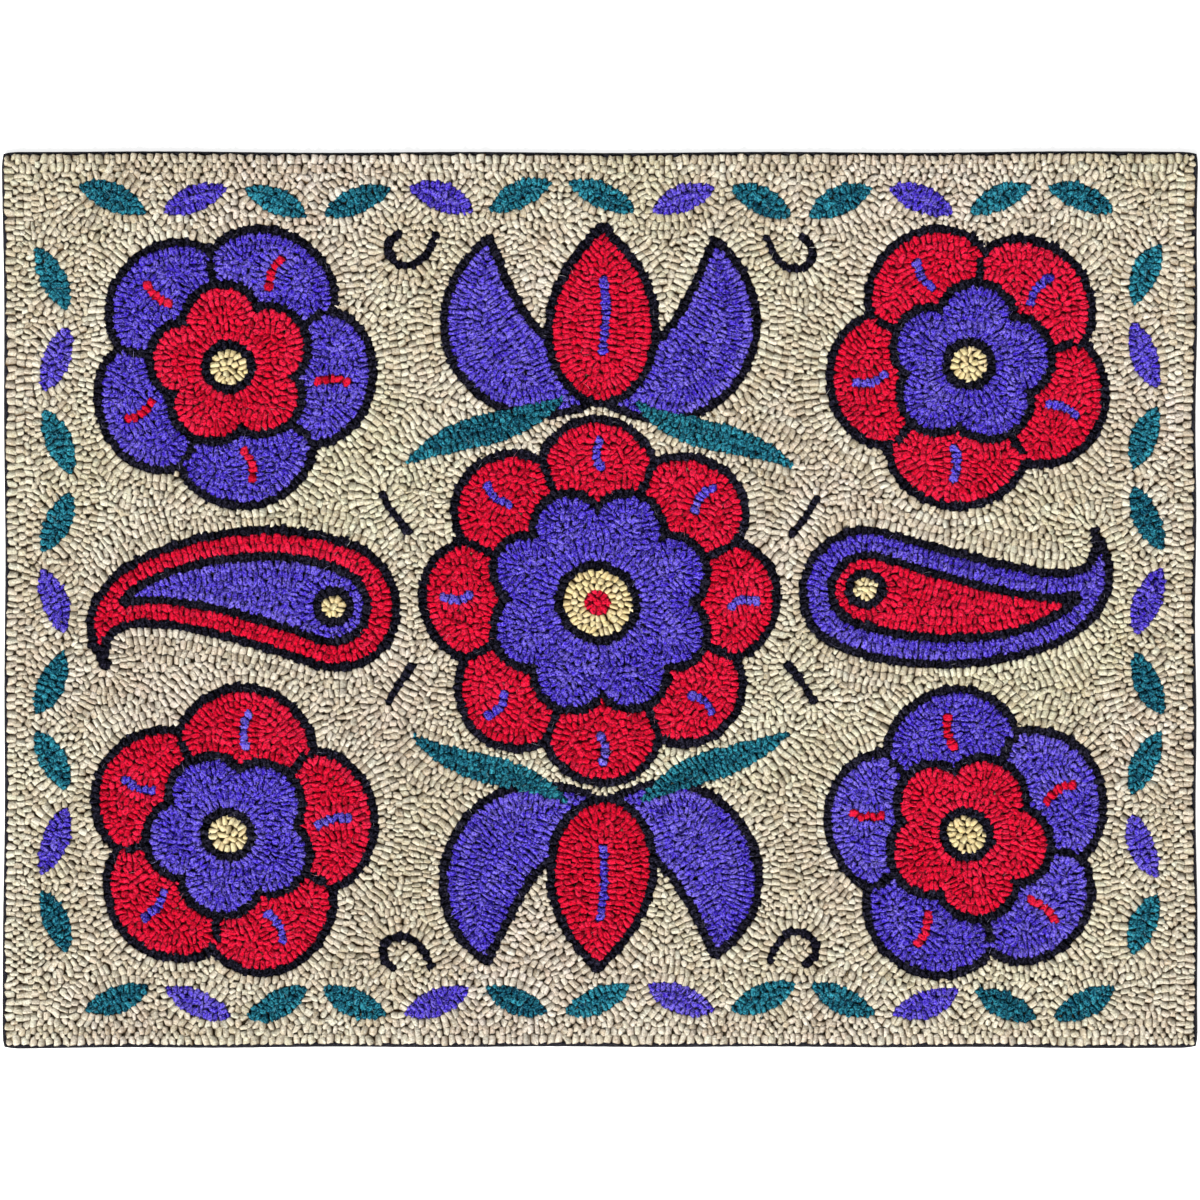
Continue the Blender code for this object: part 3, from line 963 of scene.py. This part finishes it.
# The pile: every loop is an arch of strip; thick oatmeal strips stand boxy, thinner dyed ones crease,
# and the thin black ones mat together
arches = {
    "boxy": {
        "p": np.array((-0.98, -1.0, -0.76, -0.12, 0.60, 1.0, 0.98)),
        "dropP": np.array((6.0, 2.40, 1.15, 0.52, 0.0, 1.55, 6.0)) * mm,
        "q": np.array((-1.0, -0.70, 0.70, 1.0)),
        "dropQ": np.array((0.80, 0.05, 0.05, 0.80)) * mm,
    },
    "creased": {
        "p": np.array((-0.99, -0.97, -0.60, -0.20, 0.20, 0.60, 0.97, 0.99)),
        "dropP": np.array((6.0, 1.35, 0.35, 0.0, 0.0, 0.35, 1.35, 6.0)) * mm,
        "q": np.array((-1.0, -0.42, 0.42, 1.0)),
        "dropQ": np.array((0.80, 0.02, 0.02, 0.80)) * mm,
    },
    "matted": {
        "p": np.array((-0.99, -0.97, 0.0, 0.97, 0.99)),
        "dropP": np.array((6.0, 1.10, 0.0, 1.10, 6.0)) * mm,
        "q": np.array((-1.0, -0.55, 0.55, 1.0)),
        "dropQ": np.array((0.60, 0.05, 0.05, 0.60)) * mm,
    },
}
archOf = {"oatmeal": "boxy", "cream": "boxy", "black": "matted"}  # the others are creased
pile = {
    "foot": 1.7 * mm,  # height of the legs' ends, inside the foundation cloth
    "legs": 6.0 * mm,  # drop of the legs' ends below the top
    "rise": (0.0, 0.0, 0.0, -0.1, -0.50, 0.0),  # in mm
    "heightSpread": 0.30 * mm,
    "lean": 0.28 * mm,
    "tilt": 0.20,  # slope of a loop's top, no more than steepest
    "steepest": 0.38,
    "twist": 0.28 * mm,  # one end of the loop rolls one way, the other end the other way
    "skew": 0.16,  # the strip lies askew across its row
    "bow": 0.35 * mm,  # its two sides bend forward or back
    "cup": 0.26 * mm,  # how unevenly its middle sags or stands
    "shake": (0.22, 0.34, 0.42, 0.38, 0.30, 0.22),  # crumple of the strip, in mm
    "fit": 0.85,  # how closely a loop takes the outline of its patch
    "overlap": (1.12, 1.10, 1.14, 1.12, 1.22, 1.05),  # loops of neighbouring rows push into each other
    "bulge": 1.2 * mm,  # how far the outer row leans out over the binding
    "bulgeReach": 7.0 * mm,  # from this far inside the pile's edge
    "bulgeFrom": 4.8 * mm,  # height where the bulge begins, and over which height it grows
    "bulgeOver": 2.4 * mm,
}


def forEach(values):
    # one value per loop, ready to be spread over the loop's grid
    return values[:, None, None]


def placeAlong(chosen, runP, runQ):
    # spot + runP * heading + runQ * side, the side lying to the left of the heading
    spotX, spotY = (forEach(column) for column in chosen["spot"].T)
    headX, headY = (forEach(column) for column in chosen["heading"].T)
    return spotX + runP * headX - runQ * headY, spotY + runP * headY + runQ * headX


def buildArches(chosen, arch):
    # runP = along * p * reach and runQ = across * q * reach, lowered by both drops;
    # the top leans, tilts, twists and sags by random amounts, and the two legs run down into the cloth
    n = len(chosen["spot"])
    p, q = arch["p"][None, :, None], arch["q"][None, None, :]

    def spread(key):
        return rng.normal(0.0, pile[key], (n, 1, 1))

    def perWool(key):
        return np.array(pile[key])[chosen["wool"]]

    angle = np.arctan2(q, p + 0.0 * q) / (0.25 * math.pi)
    low = np.floor(angle).astype(int)
    part = angle - low
    reach = chosen["sectors"][:, low[0] % 8] * (1.0 - part) + chosen["sectors"][:, (low[0] + 1) % 8] * part
    reach = 1.0 + pile["fit"] * (reach - 1.0)
    drop = arch["dropP"][None, :, None] + arch["dropQ"][None, None, :] + np.zeros((n, 1, 1))
    foot = np.zeros((1, len(arch["p"]), 1))
    foot[:, [0, -1]] = 1.0
    high = np.clip(1.0 - drop / pile["legs"], 0.0, 1.0)
    leanP, leanQ, skew = spread("lean"), spread("lean"), spread("skew")
    bow = spread("bow") * q * q
    shake = forEach(perWool("shake") * mm) * rng.normal(0.0, 1.0, (3, n, p.size, q.size)) * (1.0 - foot)
    overlap = perWool("overlap")
    runQ = forEach(overlap * chosen["across"]) * q * reach
    runP = forEach(np.sqrt(overlap) * chosen["along"]) * p * reach
    runP = runP + skew * runQ + (leanP + bow) * high + shake[0]
    runQ = runQ + leanQ * high + shake[1]
    x, y = placeAlong(chosen, runP, runQ)
    rise = perWool("rise") * mm + rng.normal(0.0, pile["heightSpread"], n)
    tilts = np.clip(rng.normal(0.0, pile["tilt"], (2, n, 1, 1)), -pile["steepest"], pile["steepest"])
    twist = spread("twist") * p * q
    cup = spread("cup") * (1.0 - q * q)
    top = rug["pileTop"] + swellAt(x, y) + forEach(rise) + tilts[0] * runP + tilts[1] * runQ + twist
    z = top - drop - cup * high + shake[2]
    z = np.where(foot > 0.0, pile["foot"] + hemLift(x, y), z)
    for axis, half in ((x, halfX), (y, halfY)):
        near = np.clip(1.0 - (half - np.abs(axis)) / pile["bulgeReach"], 0.0, 1.0)
        above = np.clip((z - pile["bulgeFrom"]) / pile["bulgeOver"], 0.0, 1.0)
        axis += np.sign(axis) * pile["bulge"] * near * above
    return np.stack((*placeOnRug(x, y), z), axis=-1), drop


def makePile(name, chosen, arch, material):
    # the strip's own map runs in metres along the arch, from its shade on, and across it
    grids, drop = buildArches(chosen, arch)
    n, rows, columns, _ = grids.shape
    steps = np.hypot(np.diff(arch["p"]) * 2.5 * mm, np.diff(arch["dropP"]))
    lengths = np.concatenate(([0.0], np.cumsum(steps)))[None, :, None]
    ones = np.ones((n, rows, columns))
    stripU = (lengths + forEach(chosen["shade"])) * ones
    stripV = arch["q"] * forEach(chosen["across"]) * ones
    attributes = {key: forEach(chosen[key]) * ones for key in ("tint", "shade")}
    attributes["drop"] = drop
    maps = {"strip": np.stack((stripU, stripV), axis=-1), "OFBake": atlas(n, rows, columns)}
    return gridPiece(name, grids, material, attributes, maps)


def chosenLoops(mask):
    # the same table with some of its loops
    return {key: value[mask] for key, value in loops.items()}


third = halfX / 3.0
partsOf = {  # the wools with many loops are made in parts, from left to right
    "oatmeal": {"_left": (-1.0, -third), "_middle": (-third, third), "_right": (third, 1.0)},
    "purple": {"_left": (-1.0, 0.0), "_right": (0.0, 1.0)},
}
for number, wool in enumerate(wools):
    material = woolMaterial(wool)
    for part, (low, high) in partsOf.get(wool, {"": (-1.0, 1.0)}).items():
        mine = (loops["wool"] == number) & (loops["spot"][:, 0] >= low) & (loops["spot"][:, 0] < high)
        arch = arches[archOf.get(wool, "creased")]
        piece = makePile("pile_" + wool + part, chosenLoops(mine), arch, material)
        print("pile piece", piece.name, int(mine.sum()), "loops")


# The foundation cloth: a thin closed sheet under all the loops, lifted where it lies on the binding's return
cloth = {
    "inset": 2.2 * mm,
    "under": 0.9 * mm,
    "top": 1.9 * mm,
    "spanX": 24,
    "spanY": 18,
    "nearEdge": np.array((2.2, 8.0, 18.0, 30.0, 32.7, 35.3, 38.0)) * mm,  # rows of points near each edge
    "thread": srgb(206, 188, 150),
    "threadGap": srgb(120, 98, 62),
    "pitch": 1.6 * mm,
    "finish": {"roughness": 0.9, "specular": 0.15, "bump": 0.8, "bumpDepth": 0.4 * mm},
}


def edgeStations(half, count):
    # from side to side: close together near both edges, where the cloth rises, and even between
    near = half - cloth["nearEdge"]
    return np.concatenate((-near, np.linspace(-near[-1], near[-1], count + 1)[1:-1], near[::-1]))


def linenMaterial():
    # two crossing sets of threads from the sheet's own map in metres, with slubs from a noise
    material, tree = newMaterial("linen_foundation")
    inputs = {"Vector": stripMap(tree), "Distortion": 0.6, "Detail Scale": 0.4}
    inputs["Scale"] = 0.314159 / cloth["pitch"]  # a wave's period is 0.314159 over its scale
    waves = [addNode(tree, "TexWave", inputs, bands_direction=way).outputs["Fac"] for way in ("X", "Y")]
    weave = mathNode(tree, "MULTIPLY", *waves)
    slub = noiseNode(tree, objectPlace(tree), 260.0, 3.0, 0.6)
    height = mathNode(tree, "MULTIPLY_ADD", slub, 0.5, weave)
    colour = mixColours(tree, mapRange(tree, height, 0.15, 0.85), cloth["threadGap"], cloth["thread"])
    finishMaterial(tree, colour, cloth["finish"], height)
    return material


def makeFoundation():
    # two grids of points, top and underside, both lifted by hemLift, with a wall of quads round their rim
    x, y = np.meshgrid(edgeStations(halfLength, cloth["spanX"]), edgeStations(halfWidth, cloth["spanY"]))
    placed = placeOnRug(x, y)
    lift = hemLift(x, y)
    sheets = [np.stack((*placed, cloth[key] + lift), axis=-1).reshape(-1, 3) for key in ("top", "under")]
    point = np.arange(x.size).reshape(x.shape)
    quad = np.stack((point[:-1, :-1], point[:-1, 1:], point[1:, 1:], point[1:, :-1]), axis=-1).reshape(-1, 4)
    rim = np.concatenate((point[0, :-1], point[:-1, -1], point[-1, :0:-1], point[:0:-1, 0]))
    after = np.roll(rim, -1)
    wall = np.column_stack((rim + x.size, after + x.size, after, rim))
    flat = np.tile(np.stack((x, y), axis=-1).reshape(-1, 2), (2, 1))
    faces = [quad, quad[:, ::-1] + x.size, wall]
    return makePiece("foundation_cloth", np.vstack(sheets), faces, linenMaterial(), {}, {"strip": flat})


foundation = makeFoundation()
print("foundation cloth made")


# The back: each loop's strip shows there as one short flat stitch
back = {
    "p": np.array((-1.0, 0.0, 1.0)),
    "height": np.array((0.80, 0.12, 0.80)) * mm,
    "width": 0.86,  # share of the loop's width that the flat strip covers
    "margin": 32.0 * mm,  # nothing is hooked from here to the edge that the binding doesn't cover
    "uneven": 0.05 * mm,
    "shadow": (0.35, 0.33, 0.32, 1.0),
    "finish": {"roughness": 0.94, "specular": 0.12, "sheen": 0.08, "bump": 0.7, "bumpDepth": 0.3 * mm},
}


def backMaterial():
    # the stitch's own dye, with flecks and felted fuzz
    material, tree = newMaterial("wool_back")
    place, dye = objectPlace(tree), attributeNode(tree, "dye").outputs["Color"]
    factor = mapRange(tree, noiseNode(tree, place, 620.0, 3.0, 0.65), 0.36, 0.64, 0.55, 0.0)
    dark = mixColours(tree, 1.0, dye, back["shadow"], "MULTIPLY")
    fuzz = noiseNode(tree, place, 1300.0, 4.0, 0.7)
    finishMaterial(tree, mixColours(tree, factor, dye, dark), back["finish"], fuzz)
    return material


def makeBack():
    # runP = along * p and runQ = width * across * q, at the height given for p; q runs back, so it faces down
    chosen = chosenLoops(insetAt(*loops["spot"].T) > back["margin"])
    n, p, q = len(chosen["spot"]), back["p"][None, :, None], np.array((1.0, -1.0))
    runP = forEach(chosen["along"]) * p + 0.0 * q
    runQ = back["width"] * forEach(chosen["across"]) * q + 0.0 * p
    x, y = placeAlong(chosen, runP, runQ)
    z = back["height"][None, :, None] + rng.uniform(0.0, back["uneven"], (n, 1, 1)) + 0.0 * runQ
    dyes = np.array([woolColours[wool]["mid"] for wool in wools])[chosen["wool"]]
    dyes[:, :3] *= (0.80 + 0.35 * chosen["tint"])[:, None]
    dye = dyes[:, None, None, :] + np.zeros((*z.shape, 4))
    grids = np.stack((*placeOnRug(x, y), z), axis=-1)
    maps = {"OFBake": atlas(n, p.size, q.size)}
    return gridPiece("hooking_back", grids, backMaterial(), {"dye": dye}, maps)


hookingBack = makeBack()
print("back stitches made:", len(hookingBack.data.polygons) // 2)


# The binding: wool cloth folded round the edge, mitred at the corners and hemmed to the back
binding = {
    "tape": 1.0 * mm,
    "fold": 2.2 * mm,  # radius of the folded edge
    "hemRise": 0.40 * mm,  # its inner edge lies this high, on the stitches of the back
    "hemReach": 4.5 * mm,  # and comes down to the floor over this width
    "rim": 0.6 * mm,  # rounding of its top edge
    "inner": 1.5 * mm,  # from the rug's edge to the inside of the fold
    "pucker": 0.14 * mm,
    "puckerRun": 11.0 * mm,
    "puckerReach": 6.0 * mm,
    "step": 6.0 * mm,  # between sections along the side
    "seam": 0.03 * mm,  # half the slit of each mitre
    "wool": (srgb(22, 22, 32), srgb(70, 68, 78), srgb(10, 10, 16)),  # mid, light and dark
    "finish": {
        "roughness": 0.95, "specular": 0.10, "sheen": 0.10, "sheenRoughness": 0.6,
        "bump": 0.8, "bumpDepth": 0.4 * mm,
    },
}
hem = {
    "pitch": 8.0 * mm,
    "uneven": 0.8 * mm,
    "fromCorner": 3.0 * mm,
    "slant": (1.4 * mm, 1.7 * mm),  # half a stitch's length along the edge and across it
    "radius": 0.28 * mm,
    "lift": 0.25 * mm * np.array((0.7, 0.0, 0.1, 1.0)),
    "wool": (srgb(28, 27, 34), srgb(80, 78, 84), srgb(12, 12, 18)),
}


def feltMaterial(name, mid, light, dark):
    # felted wool: a worn mix of near blacks, a faint twill from the strip's map and fine fuzz
    material, tree = newMaterial(name)
    place = objectPlace(tree)
    worn = mapRange(tree, noiseNode(tree, place, 90.0, 4.0, 0.6), 0.35, 0.65)
    flecks = mapRange(tree, noiseNode(tree, place, 900.0, 4.0, 0.7), 0.52, 0.72)
    colour = mixColours(tree, flecks, mixColours(tree, worn, dark, mid), light)
    inputs = {"Vector": stripMap(tree), "Scale": 200.0, "Distortion": 3.0}
    twill = addNode(tree, "TexWave", inputs, bands_direction="DIAGONAL").outputs["Fac"]
    height = mathNode(tree, "MULTIPLY_ADD", twill, 0.35, noiseNode(tree, place, 1400.0, 4.0, 0.7))
    finishMaterial(tree, colour, binding["finish"], height)
    return material


def bindingSection():
    # the outside from the hem round the fold to the top edge, then back along the inside: inset and height
    top, fold, tape, inner = rug["bindingTop"], binding["fold"], binding["tape"], binding["inner"]
    shown, under, rise = rug["bindingShown"], rug["bindingReturn"], binding["hemRise"]
    turn = np.radians(np.linspace(0.0, 90.0, 5))
    lower = np.column_stack((fold - fold * np.sin(turn), fold - fold * np.cos(turn)))
    upper = np.column_stack((fold - fold * np.cos(turn), top - fold + fold * np.sin(turn)))
    start = [(under, rise), (under - binding["hemReach"], 0.1 * mm)]
    rim = [(shown - binding["rim"], top), (shown, top - 0.35 * mm)]
    inside = [
        (shown, top - tape - 0.2 * mm),
        (inner + 0.6 * mm, top - tape),
        (inner, top - tape - 0.5 * mm),
        (inner, tape + 0.5 * mm),
        (inner + 0.6 * mm, tape),
        (under, tape + rise - 0.1 * mm),
    ]
    return np.concatenate((start, lower, upper, rim, inside))


def sideOf(side):
    # whether the side runs along X, which way it lies, and half its length and half the rug across it
    alongX = side in ("far", "near")
    halves = (halfLength, halfWidth) if alongX else (halfWidth, halfLength)
    return alongX, 1.0 if side in ("far", "right") else -1.0, *halves


def makeBinding(side, material):
    # the section is carried along the side, cut to the mitres and drawn in by puckers at the edge
    alongX, sign, halfRun, halfAcross = sideOf(side)
    section = bindingSection()
    if (sign < 0.0) == alongX:
        section = section[::-1]
    inset, height = section[None, :, 0], section[None, :, 1]
    station = np.linspace(-halfRun, halfRun, int(2.0 * halfRun / binding["step"]) + 1)[:, None]
    run = station * (halfRun - inset - binding["seam"]) / halfRun
    wave = np.sin(2.0 * math.pi * station / binding["puckerRun"] + 2.0 * np.sin(23.0 * station))
    edge = np.clip(1.0 - inset / binding["puckerReach"], 0.0, 1.0)
    pucker = binding["pucker"] * (0.5 + 0.5 * wave) * edge
    across = sign * (halfAcross - inset - pucker)
    x, y = placeOnRug(*((run, across) if alongX else (across, run)))
    z = height - 0.5 * pucker * np.clip(height / rug["bindingTop"], 0.0, 1.0) + 0.0 * station
    strip = np.stack(np.broadcast_arrays(run, runAlong(section)[None, :]), axis=-1)
    rings = np.stack((x, y, z), axis=-1)[None]
    name = "binding_cloth_" + side
    return tubePiece(name, rings, material, {}, {"strip": strip}, "binding_" + side, "binding_cloth")


def tubesAlong(centre, sideways, up, turns, radius):
    # rings of points at the given turns, thinned at both ends: centre + radius * (cos * sideways + sin * up)
    ring = np.cos(turns)[:, None] * sideways + np.sin(turns)[:, None] * up
    return centre[:, :, None] + radius[:, None, None] * ring


def makeHemStitches():
    # short slanted tubes from the hem's inner edge onto the back, a stitch apart, along all four sides
    tubes = []
    share = np.linspace(-1.0, 1.0, 4)
    radius = hem["radius"] * np.array((0.5, 1.0, 1.0, 0.5))
    for side in ("far", "near", "right", "left"):
        alongX, sign, halfRun, halfAcross = sideOf(side)
        inner = halfRun - rug["bindingReturn"] - hem["fromCorner"]
        middle = np.arange(-inner, inner, hem["pitch"])
        middle = middle + rng.uniform(-hem["uneven"], hem["uneven"], len(middle))
        run = middle[:, None] + hem["slant"][0] * share
        across = sign * (halfAcross - rug["bindingReturn"] - hem["slant"][1] * share) + 0.0 * run
        x, y = placeOnRug(*((run, across) if alongX else (across, run)))
        z = hem["radius"] + 0.02 * mm + hem["lift"] + 0.0 * run
        centre = np.stack((x, y, z), axis=-1)
        forward = centre[:, -1] - centre[:, 0]
        forward /= np.linalg.norm(forward, axis=1)[:, None]
        sideways = np.cross(forward, (0.0, 0.0, 1.0))
        up = np.cross(sideways, forward)
        turns = 0.5 * math.pi * np.arange(4)
        tubes.append(tubesAlong(centre, sideways[:, None, None], up[:, None, None], turns, radius))
    rings = np.concatenate(tubes)[:, :, ::-1]
    material = feltMaterial("hem_thread", *hem["wool"])
    return tubePiece("hem_stitches", rings, material, {}, {}, "binding_far", "binding_cloth")


bindingWool = feltMaterial("binding_wool", *binding["wool"])
bindings = [makeBinding(side, bindingWool) for side in ("left", "right", "far", "near")]
hemStitches = makeHemStitches()
print("bindings and hem stitches made")


# Loose fibres: fine hairs of the felted wool that lie across the loops
fibre = {
    "count": {"teal": 200, "purple": 280, "black": 160, "red": 120, "oatmeal": 160},
    "radius": 0.10 * mm,
    "length": (3.0 * mm, 8.0 * mm),
    "curl": 1.1,  # radians that a fibre bends by
    "height": 0.25 * mm,  # above the loops' tops
    "dip": 0.9 * mm,  # how far both ends sink in between the loops
    "pale": (0.9, 0.9, 0.95, 1.0),
    "finish": {"roughness": 0.7, "specular": 0.3},
}


def fibreMaterial():
    # the fibre's own dye, paler in places
    material, tree = newMaterial("wool_fibre")
    dye = attributeNode(tree, "dye").outputs["Color"]
    pale = mixColours(tree, 0.5, dye, fibre["pale"])
    colour = mixColours(tree, noiseNode(tree, objectPlace(tree), 300.0), dye, pale)
    finishMaterial(tree, colour, fibre["finish"])
    return material


def makeFibres():
    # each centre line turns evenly from its start heading, dips at both ends, and carries a three-sided ring
    counts = fibre["count"].items()
    owner = np.concatenate([
        rng.choice(np.nonzero(loops["wool"] == wools.index(wool))[0], number) for wool, number in counts
    ])
    n = len(owner)
    share = np.linspace(0.0, 1.0, 4)
    bend = rng.uniform(-1.0, 1.0, n)[:, None] * fibre["curl"]
    heading = rng.uniform(0.0, 2.0 * math.pi, n)[:, None] + bend * share
    step = rng.uniform(*fibre["length"], n)[:, None] / 3.0
    x = loops["spot"][owner, 0, None] + np.cumsum(step * np.cos(heading), axis=1)
    y = loops["spot"][owner, 1, None] + np.cumsum(step * np.sin(heading), axis=1)
    x, y = np.clip(x, -halfX, halfX), np.clip(y, -halfY, halfY)
    above = fibre["height"] * rng.uniform(0.2, 1.0, (n, 1)) - fibre["dip"] * (2.0 * share - 1.0) ** 2
    z = rug["pileTop"] + swellAt(x, y) + above
    centre = np.stack((*placeOnRug(x, y), z), axis=-1)
    sideways = np.stack((-np.sin(heading), np.cos(heading), 0.0 * heading), axis=-1)
    radius = fibre["radius"] * np.array((0.4, 1.0, 1.0, 0.4))
    turns = 2.0 * math.pi / 3.0 * np.arange(3)
    rings = tubesAlong(centre, sideways[:, :, None], np.array((0.0, 0.0, 1.0)), turns, radius)
    lights = np.array([woolColours[wool]["light"] for wool in wools])[loops["wool"][owner]]
    dye = np.repeat(lights, rings.shape[1] * rings.shape[2], axis=0)
    return tubePiece("loose_fibres", rings, fibreMaterial(), {"dye": dye}, {})


looseFibres = makeFibres()
print("loose fibres made")


# Floor, light and camera
studio = {
    "floor": srgb(246, 246, 245),
    "floorSize": 8.0,
    "floorGlow": 0.75,  # a lit table, so that the rug throws hardly any shadow on it
    "sun": 4.6,
    "sunColour": (1.0, 0.98, 0.95),
    "sunSpread": 15.0,  # degrees across, for soft-edged shadows
    "sunHeight": 42.0,  # degrees above the floor
    "sunSide": -22.0,  # degrees from the near side towards the left
    "sky": (0.95, 0.97, 1.0, 1.0),
    "fill": 0.32,
    "lens": 85.0,
    "frameWidth": 0.920,
}


def makeFloor():
    # a square round the middle of the rug
    half = 0.5 * studio["floorSize"]
    data = bpy.data.meshes.new("studio_floor")
    corners = [(-half, -half, 0.0), (half, -half, 0.0), (half, half, 0.0), (-half, half, 0.0)]
    data.from_pydata(corners, [], [(0, 1, 2, 3)])
    material, tree = newMaterial("floor_paint")
    shader = tree.nodes["Principled BSDF"]
    shader.inputs["Base Color"].default_value = studio["floor"]
    shader.inputs["Roughness"].default_value = 0.8
    shader.inputs["Emission Color"].default_value = studio["floor"]
    shader.inputs["Emission Strength"].default_value = studio["floorGlow"]
    data.materials.append(material)
    linked("studio_floor", data)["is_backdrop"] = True


def makeLights():
    # a sun from the near side, a little from the left, and an even sky for the fill
    lamp = bpy.data.lights.new("key", "SUN")
    lamp.energy = studio["sun"]
    lamp.angle = math.radians(studio["sunSpread"])
    lamp.color = studio["sunColour"]
    sun = linked("key", lamp)
    sun.rotation_euler = (math.radians(90.0 - studio["sunHeight"]), 0.0, math.radians(studio["sunSide"]))
    world = bpy.data.worlds.new("studio")
    bpy.context.scene.world = world
    world.use_nodes = True
    world.node_tree.nodes["Background"].inputs["Color"].default_value = studio["sky"]
    world.node_tree.nodes["Background"].inputs["Strength"].default_value = studio["fill"]
    bpy.context.scene.view_settings.view_transform = "Standard"


def makeCamera():
    # straight above the middle; height = half the frame over the tangent of half the view
    data = bpy.data.cameras.new("camera")
    data.lens = studio["lens"]
    camera = linked("camera", data)
    height = 0.5 * studio["frameWidth"] / (0.5 * data.sensor_width / data.lens)
    camera.location = (0.0, 0.0, height + rug["pileTop"])
    bpy.context.scene.camera = camera


makeFloor()
makeLights()
makeCamera()
low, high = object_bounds()
